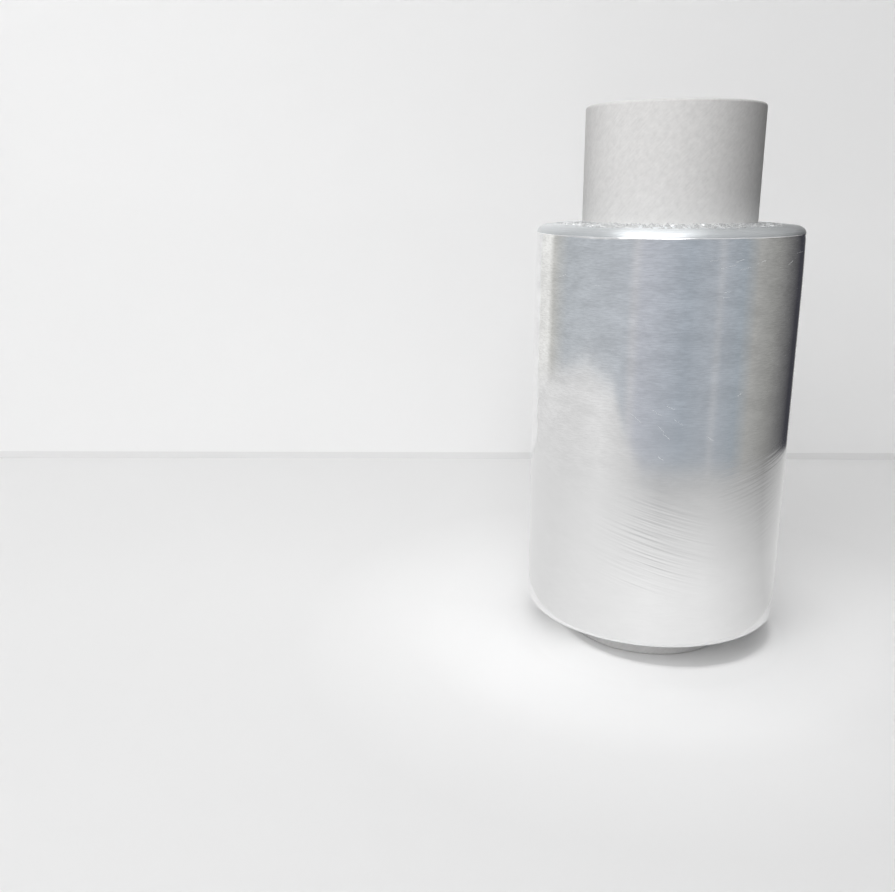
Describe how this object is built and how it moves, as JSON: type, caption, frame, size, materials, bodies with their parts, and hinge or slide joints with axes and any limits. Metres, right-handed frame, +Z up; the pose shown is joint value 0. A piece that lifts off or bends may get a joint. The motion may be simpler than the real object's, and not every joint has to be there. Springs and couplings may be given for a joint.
{
  "type": "roll of cling film",
  "caption": "Hand roll of clear stretch cling film wound on a paper core that runs on past the winding as a handle; the film is pulled off to wrap and bundle goods.",
  "frame": {"origin": "middle of the core's lower end, on the surface that the roll stands on", "axes": "+Z up the core's axis, from the short stub towards the handle; the roll is round, so X and Y are free"},
  "size_m": [0.0674, 0.0674, 0.1392],
  "materials": {
    "brown_board": "matte brown paperboard",
    "white_paper": "matte uncoated white paper",
    "clear_film": "clear glossy film, silvery in many turns"
  },
  "bodies": {
    "root": {"core_tube": "brown_board", "core_wrap": "white_paper", "film_roll": "clear_film"}
  },
  "joints": []
}
